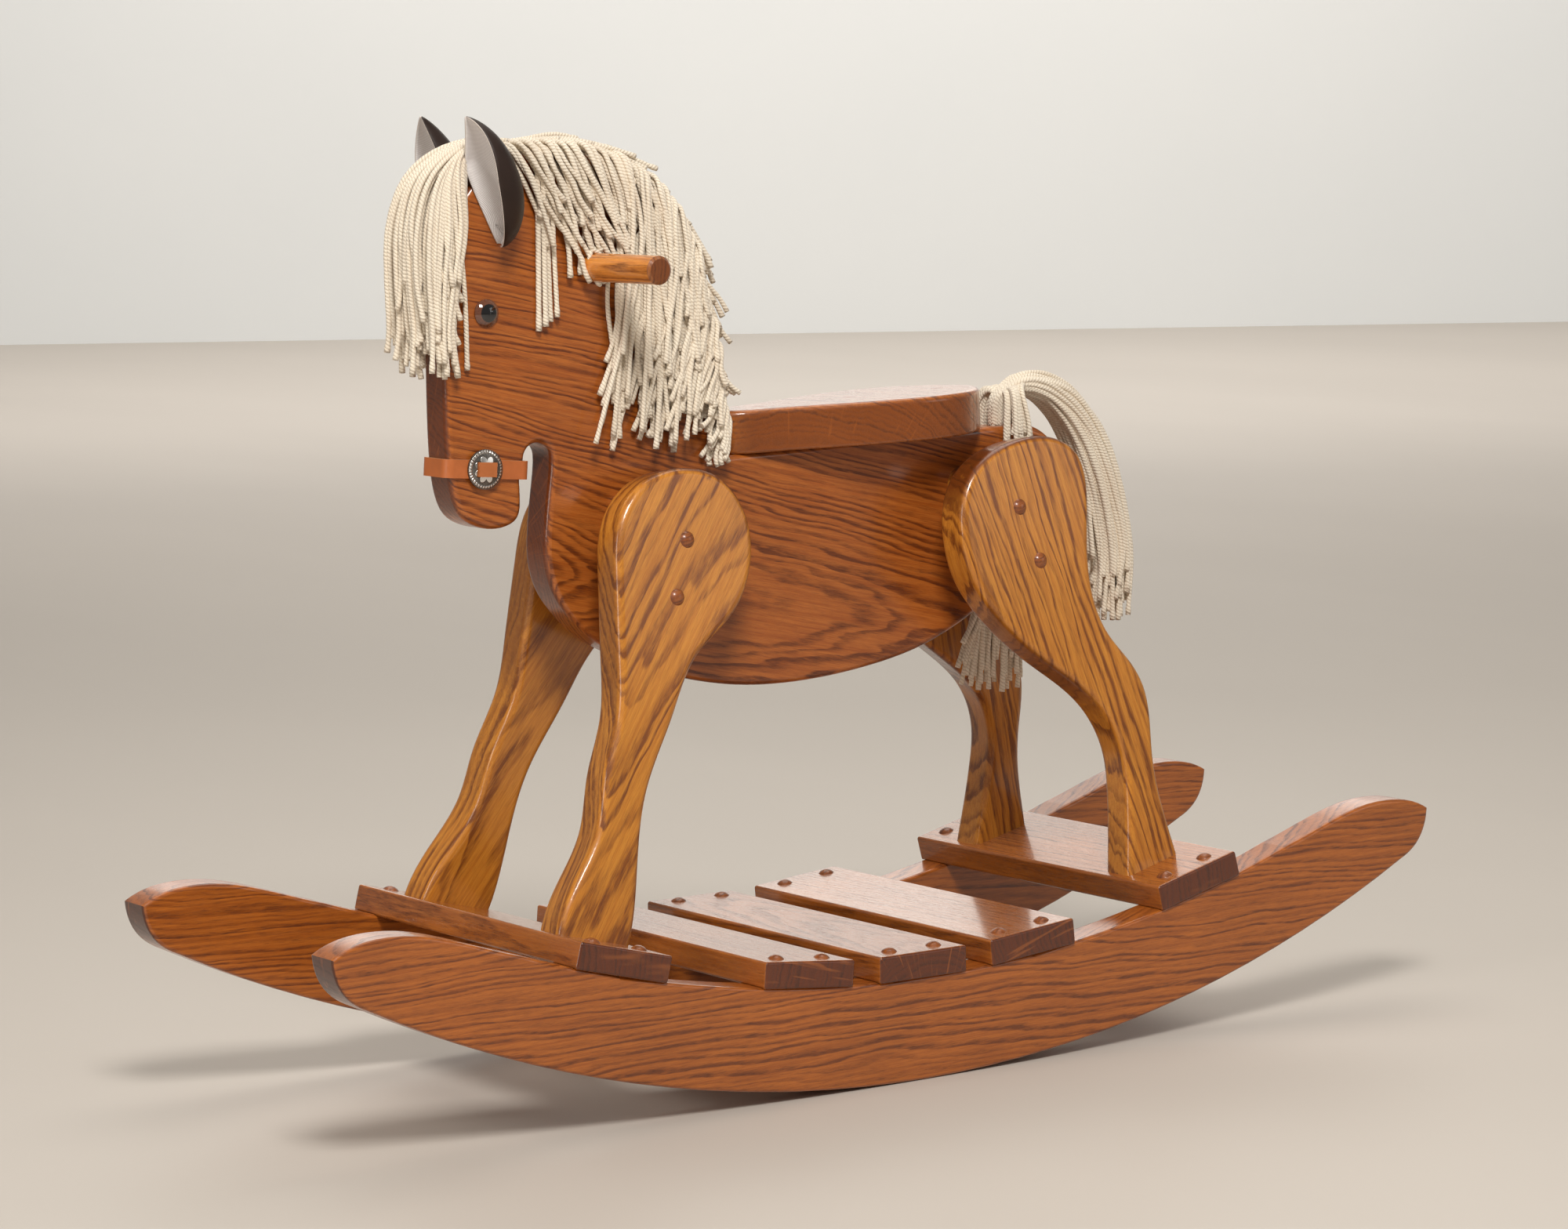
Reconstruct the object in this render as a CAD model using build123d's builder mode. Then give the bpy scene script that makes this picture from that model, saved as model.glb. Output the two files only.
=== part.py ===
from build123d import *
import os
from math import atan2, cos, degrees, radians, sin, sqrt

# A child's wooden rocking horse on two curved rockers. Millimetres, +Z up, nose towards -X,
# tail towards +X, the horse's left side at -Y. The origin is on the floor, midway along and
# between the rockers, under the lowest point of their arc.

# ---------------------------------------------------------------- driving dimensions
STOCK = 28.6                # planed oak that the plank, the legs and the rockers are cut from
BOARD_THICK = 19.05         # the five boards that cross the rockers
BOARD_WIDE = 76.0
BOARD_LONG = 292.1
SEAT_THICK = 31.0
PLANK_EDGE = 4.5            # rounding of the plank's edges
LEG_EDGE = 5.5
ROCKER_EDGE = 2.5
BOARD_EDGE = 2.0
SEAT_EDGE = 4.0

ROCKER_FACE = 143.5         # outer face of a rocker, from the middle plane
FLOOR_RADIUS = 1008.0       # arc that the rocker rolls on
TOP_RADIUS = 1030.0         # hollow arc along the rocker's upper edge
ROCKER_DEPTH = 73.0         # height of that upper arc above the floor at mid length

FRONT_BOARD_X = -257.0      # the horse's front feet stand here
REAR_BOARD_X = 251.5        # and its hind feet here
SLAT_X = {"front_slat": -103.0, "middle_slat": -4.0, "rear_slat": 95.0}

FOOT_FACE = 105.0           # outer face of a leg, from the middle plane, at FOOT_Z
FOOT_Z = 118.0
SPLAY = {"front": 8.6, "rear": 7.6}

SEAT_SLOPE = 1.7            # degrees, rising towards the tail
SEAT_Z = 438.9              # underside of the seat at the middle plane, at X 0

HANDLE_RADIUS = 9.9
HANDLE_HALF = 100.0
HANDLE_X, HANDLE_Z = -185.2, 574.0

BUTTON_HEAD_RADIUS = 5.8    # domed plug over each visible screw
BUTTON_TENON_RADIUS = 4.76
BUTTON_DOME = 3.0
BORE_DEPTH = 8.0            # counterbore under a button
SCREW_HEAD_RADIUS = 4.4
SCREW_RADIUS = 2.2
SCREW_HEAD = 3.6

CLEAR = 0.3                 # gap between a soft piece and its neighbours
HALF = STOCK / 2

os.makedirs("parts", exist_ok=True)


def save(piece, name):
    piece.part.label = name
    export_step(piece.part, f"parts/{name}.step")


# ---------------------------------------------------------------- rocker and board geometry
def board_plane(x, lift=0.0):
    """Plane of a board's underside, lying along the rockers' hollow upper edge at x."""
    tilt = degrees(atan2(x, sqrt(TOP_RADIUS**2 - x**2)))
    drop = ROCKER_DEPTH + TOP_RADIUS - sqrt(TOP_RADIUS**2 - x**2)
    seat = Plane(origin=(x, 0, drop), x_dir=(cos(radians(tilt)), 0, sin(radians(tilt))),
                 z_dir=(-sin(radians(tilt)), 0, cos(radians(tilt))))
    return seat.offset(lift)


BOARD_X = {"front_crossboard": FRONT_BOARD_X, **SLAT_X, "rear_crossboard": REAR_BOARD_X}
BOARD_SCREW_ALONG = 19.5    # screws, each side of a board's middle line
BOARD_SCREW_OUT = 131.0     # screws, from the middle plane


def board_screw_spots():
    return GridLocations(2 * BOARD_SCREW_ALONG, 2 * BOARD_SCREW_OUT, 2, 2)


# ---------------------------------------------------------------- fastener shapes
def wood_screw(length):
    """Countersunk wood screw: head top at the origin, tip along -Z."""
    with BuildPart() as screw:
        with BuildSketch(Plane.XZ):
            with BuildLine():
                Polyline((0, 0), (SCREW_HEAD_RADIUS, 0), (SCREW_RADIUS, -SCREW_HEAD),
                         (SCREW_RADIUS, -length + 6), (0, -length), close=True)
            make_face()
        revolve(axis=Axis.Z)
    return screw.part


def screw_button():
    """Domed wooden plug: tenon down the counterbore, dome standing on the surface."""
    bulge = (BUTTON_HEAD_RADIUS**2 + BUTTON_DOME**2) / (2 * BUTTON_DOME)
    with BuildPart() as button:
        with BuildSketch(Plane.XZ):
            with BuildLine():
                Polyline((0, BUTTON_DOME), (0, -BORE_DEPTH + 1.5), (BUTTON_TENON_RADIUS, -BORE_DEPTH + 1.5),
                         (BUTTON_TENON_RADIUS, 0), (BUTTON_HEAD_RADIUS, 0))
                RadiusArc((BUTTON_HEAD_RADIUS, 0), (0, BUTTON_DOME), -bulge)
            make_face()
        revolve(axis=Axis.Z)
    return button.part


BOARD_SCREW = 44.0
LEG_SCREW = 57.0
FOOT_SCREW = 45.0
SEAT_SCREW = 57.0
BUTTON = screw_button()
COUNTERBORE = Cylinder(BUTTON_TENON_RADIUS, BORE_DEPTH, align=(Align.CENTER, Align.CENTER, Align.MAX))

# ---------------------------------------------------------------- leg planes and screw places
# A leg's outline lies in its outer face: X along the horse, Y up the slope from FOOT_Z.
FRONT_LEG = [(-281, 6), (-265, 41), (-239, 80), (-229, 115), (-213, 156), (-208, 195), (-203.5, 250),
             (-196.5, 287), (-175, 312), (-139, 320.8), (-108, 311.5), (-89.5, 284), (-89.5, 252),
             (-107, 219), (-143, 190), (-168, 150), (-195, 102), (-207, 60), (-214, 25), (-226, -9)]
REAR_LEG = [(216, -4), (220, 30), (222.5, 60), (222, 85), (216, 105), (203, 125), (180, 145), (152, 165),
            (129, 185), (111, 205), (99, 225), (93, 250), (94, 275), (102, 295), (119, 311),
            (145, 321.5), (168, 324.5), (192, 320), (206, 309), (211.5, 292), (211, 270), (208, 245),
            (207, 222), (209, 203), (220, 176), (238, 154), (248, 136), (251.5, 115), (251, 85),
            (253, 60), (258, 36), (266, 4)]
LEG_OUTLINE = {"front": FRONT_LEG, "rear": REAR_LEG}
LEG_SCREW_SPOTS = {"front": [(-143, 271), (-156, 232)], "rear": [(146, 274), (160.5, 234)]}
FOOT_BOARD = {"front": FRONT_BOARD_X, "rear": REAR_BOARD_X}
FOOT_SCREW_SPOTS = {"front": (-14, 13), "rear": (-14, 13)}   # along the board, from its middle
FOOT_SCREW_OUT = 90.0
WEDGE = {"front": (-144, 374, 56, 84), "rear": (146, 376, 48, 80)}   # middle X, Z, width, height


def leg_plane(end, side, depth=0.0):
    """Outer face of a leg; side is -1 on the left, +1 on the right; depth goes into the wood."""
    lean = radians(SPLAY[end])
    face = Plane(origin=(0, side * FOOT_FACE, FOOT_Z), x_dir=(1, 0, 0),
                 z_dir=(0, -cos(lean), -side * sin(lean)))
    return face.offset(side * depth)


def inward(end, side, spot, depth=0.0):
    """A place on a leg's outer face whose +Z points out of the wood, for screws and buttons."""
    face = leg_plane(end, side, depth)
    origin = face.from_local_coords((spot[0], spot[1], 0))
    return Plane(origin=origin, x_dir=(1, 0, 0), z_dir=face.z_dir * -side)


LEG_PLACES = [(end, side) for end in ("front", "rear") for side in (-1, 1)]
SIDE_NAME = {-1: "left", 1: "right"}

# ---------------------------------------------------------------- fasteners, one node per kind
with BuildPart() as leg_screws:
    for end, side in LEG_PLACES:
        for spot in LEG_SCREW_SPOTS[end]:
            with Locations(inward(end, side, spot, BORE_DEPTH)):
                add(wood_screw(LEG_SCREW))

with BuildPart() as leg_screw_buttons:
    for end, side in LEG_PLACES:
        for spot in LEG_SCREW_SPOTS[end]:
            with Locations(inward(end, side, spot)):
                add(BUTTON)

with BuildPart() as board_screws:
    for x in BOARD_X.values():
        with Locations(board_plane(x, BOARD_THICK - BORE_DEPTH)):
            with board_screw_spots():
                add(wood_screw(BOARD_SCREW))

with BuildPart() as board_screw_buttons:
    for x in BOARD_X.values():
        with Locations(board_plane(x, BOARD_THICK)):
            with board_screw_spots():
                add(BUTTON)

with BuildPart() as foot_screws:
    for end in ("front", "rear"):
        under = board_plane(FOOT_BOARD[end])
        up = Plane(origin=under.origin, x_dir=under.x_dir, z_dir=-under.z_dir)
        with Locations(up):
            for along in FOOT_SCREW_SPOTS[end]:
                for side in (-1, 1):
                    with Locations((along, side * FOOT_SCREW_OUT, 0)):
                        add(wood_screw(FOOT_SCREW))

# the seat's own plane, on the plank's sloping back
seat_under = Plane(origin=(0, 0, SEAT_Z), x_dir=(cos(radians(SEAT_SLOPE)), 0, sin(radians(SEAT_SLOPE))),
                   z_dir=(-sin(radians(SEAT_SLOPE)), 0, cos(radians(SEAT_SLOPE))))
SEAT_SCREW_X = (-35.0, 45.0, 125.0)
SEAT_BORE = 12.0

with BuildPart() as seat_screws:
    with Locations(seat_under.offset(SEAT_THICK - SEAT_BORE)):
        for x in SEAT_SCREW_X:
            with Locations((x, 0, 0)):
                add(wood_screw(SEAT_SCREW))

with BuildPart() as seat_plugs:
    with Locations(seat_under.offset(SEAT_THICK)):
        for x in SEAT_SCREW_X:
            with Locations((x, 0, 0)):
                Cylinder(BUTTON_TENON_RADIUS, SEAT_BORE - 1, align=(Align.CENTER, Align.CENTER, Align.MAX))

# ---------------------------------------------------------------- plank: head, neck and torso
SEAT_FRONT_X, SEAT_BACK_X = -74.0, 166.0
SLOT_X, SLOT_Z, SLOT_RADIUS = -231.0, 444.0, 11.0
NECK = (-190.0, 560.0)


def back_z(x):
    return SEAT_Z + x * sin(radians(SEAT_SLOPE)) / cos(radians(SEAT_SLOPE))


CREST = [(SEAT_FRONT_X, back_z(SEAT_FRONT_X)), (-88, 458), (-93, 480), (-97, 510), (-101, 540), (-107, 570),
         (-117, 596), (-134, 621), (-159, 641), (-193, 652.5), (-228, 655), (-258, 648), (-282, 630),
         (-297, 602), (-303, 570), (-304.3, 530), (-304.5, 480), (-303.5, 446), (-300.5, 424),
         (-293, 408), (-279, 400), (-258, 398.8), (-248.5, 403.5), (-245, 418),
         (SLOT_X - SLOT_RADIUS, SLOT_Z)]
BELLY = [(SLOT_X + SLOT_RADIUS, SLOT_Z), (-222.5, 420), (-225.5, 396), (-226, 372), (-219.5, 350),
         (-204.5, 330), (-185.5, 313.5), (-160, 300), (-130, 287), (-100, 278.5), (-68, 272.8), (-28, 270.3),
         (12, 271.8), (52, 276.5), (92, 284.8), (132, 300), (170, 323), (204, 354), (225, 388),
         (229, 414), (217, 434), (195, 444), (SEAT_BACK_X, back_z(SEAT_BACK_X))]


def plank_outline(grow=1.0):
    """The plank's side view, drawn with X along the horse and Y up, stretched about the neck."""
    def place(x, z):
        return (NECK[0] + grow * (x - NECK[0]), NECK[1] + grow * (z - NECK[1]))

    with BuildSketch() as outline:
        with BuildLine():
            head = Spline([place(x, z) for x, z in CREST])
            trunk = Spline([place(x, z) for x, z in BELLY], tangents=[(0, -1), (-1, 0.1)])
            ThreePointArc(head @ 1, place(SLOT_X, SLOT_Z + SLOT_RADIUS), trunk @ 0)
            Line(trunk @ 1, head @ 0)
        make_face()
    return outline.sketch_local


TAIL_HOLE_X, TAIL_HOLE_RADIUS, TAIL_HOLE_DEPTH = 178.0, 6.0, 30.0
EYE_X, EYE_Z = -271.0, 546.0
EYE_SHANK = 11.0
EAR_STAPLE_X, EAR_STAPLE_Z, EAR_STAPLE_TURN = -258.7, 601.0, 50.0
EAR_SKIN = 2.4              # vinyl folded double where it is stapled down


def wire_staple(crown, leg, wire):
    """Wire staple: crown along X at the origin, legs along -Z."""
    with BuildPart() as staple:
        Box(crown, wire, wire, align=(Align.CENTER, Align.CENTER, Align.MIN))
        with Locations((crown / 2 - wire / 2, 0, 0), (-crown / 2 + wire / 2, 0, 0)):
            Box(wire, wire, leg, align=(Align.CENTER, Align.CENTER, Align.MAX))
    return staple.part


def side_plane(x, z, side, out=0.0, turn=0.0):
    """A place on the plank's side, +Z outwards, its X turned down towards the tail."""
    lean = radians(turn)
    return Plane(origin=(x, side * (HALF + out), z), x_dir=(cos(lean), 0, -sin(lean)), z_dir=(0, side, 0))


with BuildPart() as ear_staples:
    for side in (-1, 1):
        with Locations(side_plane(EAR_STAPLE_X, EAR_STAPLE_Z, side, EAR_SKIN, EAR_STAPLE_TURN)):
            add(wire_staple(13, 9, 0.9))

# staples that hold the yarn along the crest: X, Z and the turn of the crest there
MANE_STAPLES = [(-225, 655, 0), (-193, 652.5, 12), (-159, 641, 27), (-134, 621, 48), (-117, 596, 63),
                (-107, 570, 74), (-101, 540, 81)]
with BuildPart() as mane_staples:
    for x, z, turn in MANE_STAPLES:
        lean = radians(turn)
        crest = Plane(origin=(x, 0, z), x_dir=(0, 1, 0), z_dir=(sin(lean), 0, cos(lean)))
        with Locations(crest.offset(CLEAR)):
            add(wire_staple(11, 9, 1.0))


def plank_bores():
    """What passes through or into the plank, as one cutting tool."""
    with BuildPart() as bores:
        add(leg_screws.part)
        add(seat_screws.part)
        with Locations(Plane(origin=(HANDLE_X, -HALF - 5, HANDLE_Z), z_dir=(0, 1, 0))):
            Cylinder(HANDLE_RADIUS, STOCK + 10, align=(Align.CENTER, Align.CENTER, Align.MIN))
        with Locations((TAIL_HOLE_X, 0, back_z(TAIL_HOLE_X) + 5)):
            Cylinder(TAIL_HOLE_RADIUS, TAIL_HOLE_DEPTH + 5, align=(Align.CENTER, Align.CENTER, Align.MAX))
        for side in (-1, 1):
            with Locations(side_plane(EYE_X, EYE_Z, side)):
                Cylinder(2.5, EYE_SHANK, align=(Align.CENTER, Align.CENTER, Align.MAX))
        add(ear_staples.part)
        add(mane_staples.part)
    return bores.part


with BuildPart() as plank:
    with BuildSketch(Plane.XZ):
        add(plank_outline())
    extrude(amount=HALF, both=True)
    side_faces = plank.faces().sort_by(Axis.Y)
    fillet(side_faces[0].edges() + side_faces[-1].edges(), radius=PLANK_EDGE)
    add(plank_bores(), mode=Mode.SUBTRACT)
save(plank, "plank")

# ---------------------------------------------------------------- seat
SEAT_HALF = [(-72, 0), (-67, 10), (-54, 18), (-36, 22.5), (-6, 31), (29, 42.5), (62, 49.5), (92, 51.5),
             (115, 46), (134, 34), (150, 18), (157, 0)]
with BuildPart() as seat:
    with BuildSketch(seat_under):
        with BuildLine():
            Spline(SEAT_HALF + [(x, -y) for x, y in SEAT_HALF[-2:0:-1]], periodic=True)
        make_face()
    extrude(amount=SEAT_THICK)
    fillet(seat.faces().sort_by(Axis.Z)[-1].edges(), radius=SEAT_EDGE)
    fillet(seat.faces().sort_by(Axis.Z)[0].edges(), radius=SEAT_EDGE / 2)
    with Locations(seat_under.offset(SEAT_THICK)):
        for x in SEAT_SCREW_X:
            with Locations((x, 0, 0)):
                Cylinder(BUTTON_TENON_RADIUS, SEAT_BORE, align=(Align.CENTER, Align.CENTER, Align.MAX),
                         mode=Mode.SUBTRACT)
    add(seat_screws.part, mode=Mode.SUBTRACT)
save(seat, "seat")


# ---------------------------------------------------------------- legs and the wedges inside them
def make_leg(end, side):
    with BuildPart() as leg:
        with BuildSketch(leg_plane(end, side)):
            with BuildLine():
                edge = Spline(LEG_OUTLINE[end])
                Line(edge @ 1, edge @ 0)
            make_face()
        extrude(amount=side * STOCK)
        flats = leg.faces().filter_by(GeomType.PLANE).sort_by(SortBy.AREA)[-2:]
        fillet(flats.edges().filter_by(GeomType.LINE, reverse=True), radius=LEG_EDGE)
        split(bisect_by=board_plane(FOOT_BOARD[end], BOARD_THICK), keep=Keep.TOP)
        for spot in LEG_SCREW_SPOTS[end]:
            with Locations(inward(end, side, spot)):
                add(COUNTERBORE, mode=Mode.SUBTRACT)
        add(leg_screws.part, mode=Mode.SUBTRACT)
        add(foot_screws.part, mode=Mode.SUBTRACT)
    return leg


def make_wedge(end, side):
    middle_x, middle_z, width, height = WEDGE[end]
    with BuildPart() as wedge:
        with BuildSketch(Plane(origin=(middle_x, side * HALF, middle_z), x_dir=(1, 0, 0), z_dir=(0, side, 0))):
            RectangleRounded(width, height, 12)
        extrude(amount=2 * STOCK)
        inner_face = leg_plane(end, side, STOCK)
        split(bisect_by=inner_face, keep=Keep.TOP if side > 0 else Keep.BOTTOM)
        add(leg_screws.part, mode=Mode.SUBTRACT)
    return wedge


for end, side in LEG_PLACES:
    save(make_leg(end, side), f"{end}_{SIDE_NAME[side]}_leg")
    save(make_wedge(end, side), f"{end}_{SIDE_NAME[side]}_wedge")


# ---------------------------------------------------------------- boards across the rockers
def make_board(x):
    with BuildPart() as board:
        with BuildSketch(board_plane(x)):
            Rectangle(BOARD_WIDE, BOARD_LONG)
        extrude(amount=BOARD_THICK)
        fillet(board.edges(), radius=BOARD_EDGE)
        with Locations(board_plane(x, BOARD_THICK)):
            with board_screw_spots():
                add(COUNTERBORE, mode=Mode.SUBTRACT)
        add(board_screws.part, mode=Mode.SUBTRACT)
        add(foot_screws.part, mode=Mode.SUBTRACT)
    return board


for name, x in BOARD_X.items():
    save(make_board(x), name)

# ---------------------------------------------------------------- rockers
HUMP = [(335.0, ROCKER_DEPTH + TOP_RADIUS - sqrt(TOP_RADIUS**2 - 335.0**2)), (362, 137.4), (390, 146.2),
        (415, 151.8), (438, 153.3), (460, 150.8), (478, 143.5)]
TOE_X = 452.0
TOE = (TOE_X, FLOOR_RADIUS - sqrt(FLOOR_RADIUS**2 - TOE_X**2))


def flipped(points):
    return [(-x, z) for x, z in points]


def make_rocker(side):
    with BuildPart() as rocker:
        with BuildSketch(Plane.XZ.offset(-side * (ROCKER_FACE - HALF))):
            with BuildLine():
                ThreePointArc((-TOE[0], TOE[1]), (0, 0), TOE)
                Spline([TOE, (470.5, 121), HUMP[-1]])
                Spline(HUMP)
                ThreePointArc(HUMP[0], (0, ROCKER_DEPTH), (-HUMP[0][0], HUMP[0][1]))
                Spline(flipped(HUMP))
                Spline(flipped([HUMP[-1], (470.5, 121), TOE]))
            make_face()
        extrude(amount=HALF, both=True)
        faces = rocker.faces().sort_by(Axis.Y)
        fillet(faces[0].edges() + faces[-1].edges(), radius=ROCKER_EDGE)
        for x in BOARD_X.values():
            with BuildSketch(board_plane(x)):
                Rectangle(BOARD_WIDE, BOARD_LONG + 20)
            extrude(amount=BOARD_THICK, mode=Mode.SUBTRACT)
        add(board_screws.part, mode=Mode.SUBTRACT)
    return rocker


for side in (-1, 1):
    save(make_rocker(side), f"{SIDE_NAME[side]}_rocker")

# ---------------------------------------------------------------- handle and eyes
with BuildPart() as handle:
    with Locations(Plane(origin=(HANDLE_X, 0, HANDLE_Z), z_dir=(0, 1, 0))):
        Cylinder(HANDLE_RADIUS, 2 * HANDLE_HALF)
    chamfer(handle.edges().group_by(Axis.Y)[0] + handle.edges().group_by(Axis.Y)[-1], length=2.0)
save(handle, "handle")

EYE_RADIUS, EYE_DOME, EYE_FLANGE = 9.5, 4.2, 1.2


def make_eye(side):
    bulge = (EYE_RADIUS**2 + EYE_DOME**2) / (2 * EYE_DOME)
    with BuildPart() as eye:
        with BuildSketch(Plane.XZ) as half_section:
            with BuildLine():
                Polyline((0, EYE_FLANGE + EYE_DOME), (0, -EYE_SHANK + 1), (2.4, -EYE_SHANK + 1), (2.4, 0),
                         (EYE_RADIUS, 0), (EYE_RADIUS, EYE_FLANGE))
                RadiusArc((EYE_RADIUS, EYE_FLANGE), (0, EYE_FLANGE + EYE_DOME), -bulge)
            make_face()
        revolve(axis=Axis.Z)
    with BuildPart() as placed:
        with Locations(side_plane(EYE_X, EYE_Z, side)):
            add(eye.part)
    return placed


for side in (-1, 1):
    save(make_eye(side), f"{SIDE_NAME[side]}_eye")

# ---------------------------------------------------------------- noseband, conchos and laces
BAND_WIDE, BAND_THICK, BAND_DROP = 12.7, 2.2, 4.5
BAND_FRONT, BAND_BACK, BAND_Z = -305.0, -241.2, 439.5
BAND_MIDDLE = (BAND_FRONT + BAND_BACK) / 2
BAND_SIDE = HALF + CLEAR
lean = radians(BAND_DROP)
band_plane = Plane(origin=(BAND_MIDDLE, 0, BAND_Z), x_dir=(cos(lean), 0, -sin(lean)),
                   z_dir=(sin(lean), 0, cos(lean)))
with BuildPart() as noseband:
    with BuildSketch(band_plane.offset(-BAND_WIDE / 2)):
        RectangleRounded(BAND_BACK - BAND_FRONT + 2 * BAND_THICK, 2 * (BAND_SIDE + BAND_THICK), 6.5)
        RectangleRounded(BAND_BACK - BAND_FRONT, 2 * BAND_SIDE, 4.3, mode=Mode.SUBTRACT)
    extrude(amount=BAND_WIDE)
save(noseband, "noseband")

CONCHO_RADIUS, CONCHO_THICK, CONCHO_DOME = 13.75, 1.4, 2.2
CONCHO_X = -276.5
SLOT_OUT, SLOT_WIDE, SLOT_TALL = 6.4, 2.4, 11.0
CONCHO_OUT = CLEAR + BAND_THICK + 1.6


def make_concho(side):
    """Domed metal disc with two slots; it stands on the band's outer face."""
    bulge = (CONCHO_RADIUS**2 + CONCHO_DOME**2) / (2 * CONCHO_DOME)
    with BuildPart() as disc:
        with BuildSketch(Plane.XZ):
            with BuildLine():
                Polyline((0, CONCHO_THICK + CONCHO_DOME), (0, CONCHO_DOME))
                RadiusArc((0, CONCHO_DOME), (CONCHO_RADIUS, 0), bulge)
                Line((CONCHO_RADIUS, 0), (CONCHO_RADIUS, CONCHO_THICK))
                RadiusArc((CONCHO_RADIUS, CONCHO_THICK), (0, CONCHO_THICK + CONCHO_DOME), -bulge)
            make_face()
        revolve(axis=Axis.Z)
        with BuildSketch():
            with Locations((-SLOT_OUT, 0), (SLOT_OUT, 0)):
                Rectangle(SLOT_WIDE, SLOT_TALL)
        extrude(amount=10, mode=Mode.SUBTRACT)
    with BuildPart() as placed:
        with Locations(side_plane(CONCHO_X, BAND_Z + 0.4, side, CONCHO_OUT - 1.6 + 0.1, BAND_DROP)):
            add(disc.part)
    return placed


for side in (-1, 1):
    save(make_concho(side), f"{SIDE_NAME[side]}_concho")

LACE_WIDE, LACE_THICK = 10.0, 1.2
LACE_TOP = CONCHO_DOME + CONCHO_THICK + 0.3
with BuildPart() as concho_laces:
    for side in (-1, 1):
        with Locations(side_plane(CONCHO_X, BAND_Z + 0.4, side, CONCHO_OUT - 1.6 + 0.1, BAND_DROP)):
            with Locations((0, 0, LACE_TOP)):
                Box(2 * SLOT_OUT + LACE_THICK, LACE_WIDE, LACE_THICK, align=(Align.CENTER, Align.CENTER, Align.MIN))
            with Locations((-SLOT_OUT, 0, LACE_TOP), (SLOT_OUT, 0, LACE_TOP)):
                Box(LACE_THICK, LACE_WIDE, LACE_TOP - 0.2, align=(Align.CENTER, Align.CENTER, Align.MAX))
save(concho_laces, "concho_laces")

# ---------------------------------------------------------------- ears
# the cupped leaf seen from the side (X, Z) and from the front (distance from the middle plane, Z)
EAR_SIDE = [(-257.5, 590.5), (-268, 597), (-276, 607), (-280, 619), (-283, 634), (-287, 650), (-291, 667),
            (-294.5, 681), (-272, 667), (-252, 644), (-243.5, 625), (-242, 607)]
EAR_FRONT = [(HALF + CLEAR, 590), (28, 604), (44, 620), (54, 640), (54, 655), (44, 669), (31, 682),
             (26, 679), (18, 664), (HALF + CLEAR, 650)]


def make_ear(side):
    """Leaf of vinyl, cupped open to the front, as one plain solid."""
    with BuildPart() as ear:
        with BuildSketch(Plane.XZ):
            with BuildLine():
                Polyline(EAR_SIDE, close=True)
            make_face()
        extrude(amount=60, both=True)
        with BuildSketch(Plane.YZ.offset(-320)):
            with BuildLine():
                Polyline([(side * out, z) for out, z in EAR_FRONT], close=True)
            make_face()
        extrude(amount=100, mode=Mode.INTERSECT)
        add(ear_staples.part, mode=Mode.SUBTRACT)
    return ear


for side in (-1, 1):
    save(make_ear(side), f"{SIDE_NAME[side]}_ear")
save(ear_staples, "ear_staples")
save(mane_staples, "mane_staples")

# ---------------------------------------------------------------- yarn: mane, forelock and tail
MANE = [(-232, 672), (-231, 602), (-224, 572), (-196, 548), (-172, 540), (-170, 480), (-164, 452), (-156, 434),
        (-120, 430), (-84, 424), (-76, 440), (-76, 473), (-61, 477), (-60, 520), (-66, 560), (-80, 594),
        (-106, 632), (-140, 660), (-185, 672)]
MANE_HALF = 27.5
CROWN_HALF = 11.5           # yarn between the ears
MANE_CROWN = [(-231, 672), (-262, 673), (-262, 650), (-231, 650)]
FORELOCK = [(-294, 668), (-312, 662), (-327, 642), (-335, 608), (-337, 560), (-334, 506), (-300, 502),
            (-286, 522), (-284, 560), (-284, 596), (-293, 622), (-296, 645)]
FORELOCK_HALF = 27.0
FORELOCK_CROWN = [(-263, 673), (-296, 670), (-298, 630), (-263, 645)]
TAIL = [(172.5, 446.5), (170.5, 468), (182, 481), (204, 485), (227, 481), (247, 470), (264, 450), (275, 425),
        (285, 395), (295, 365), (302, 343), (294, 312), (283, 294), (269, 300), (262, 340), (256, 380),
        (248, 412), (235, 438), (212, 452), (190, 452)]
TAIL_HALF = 24.0
RIGHT_LOCK = [(181, 478), (181, 320), (152, 285), (152, 238), (228, 238), (226, 300), (222, 440), (204, 478)]
RIGHT_LOCK_OUT, RIGHT_LOCK_THICK = 31.0, 16.1
LEFT_LOCK = [(176, 478), (176, 424), (184, 402), (205, 402), (210, 440), (204, 478)]
LEFT_LOCK_IN, LEFT_LOCK_THICK = 14.9, 11.1


def yarn_block(outline, half=0.0, start=0.0, thick=0.0):
    """Bunch of yarn: half is its reach each side of the middle plane, or it starts at Y start and is thick."""
    with BuildPart() as block:
        with BuildSketch(Plane.XZ.offset(-start)):
            with BuildLine():
                Polyline(outline, close=True)
            make_face()
        extrude(amount=half or thick, both=half > 0)
    return block.part


with BuildPart() as plank_room:
    with BuildSketch(Plane.XZ):
        add(plank_outline(1.004))
    extrude(amount=HALF + CLEAR, both=True)
    with Locations(Plane(origin=(HANDLE_X, 0, HANDLE_Z), z_dir=(0, 1, 0))):
        Cylinder(HANDLE_RADIUS + CLEAR, 3 * HANDLE_HALF)

with BuildPart() as mane:
    add(yarn_block(MANE, MANE_HALF))
    add(yarn_block(MANE_CROWN, CROWN_HALF))
    add(plank_room.part, mode=Mode.SUBTRACT)
    add(mane_staples.part, mode=Mode.SUBTRACT)
save(mane, "mane")

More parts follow.
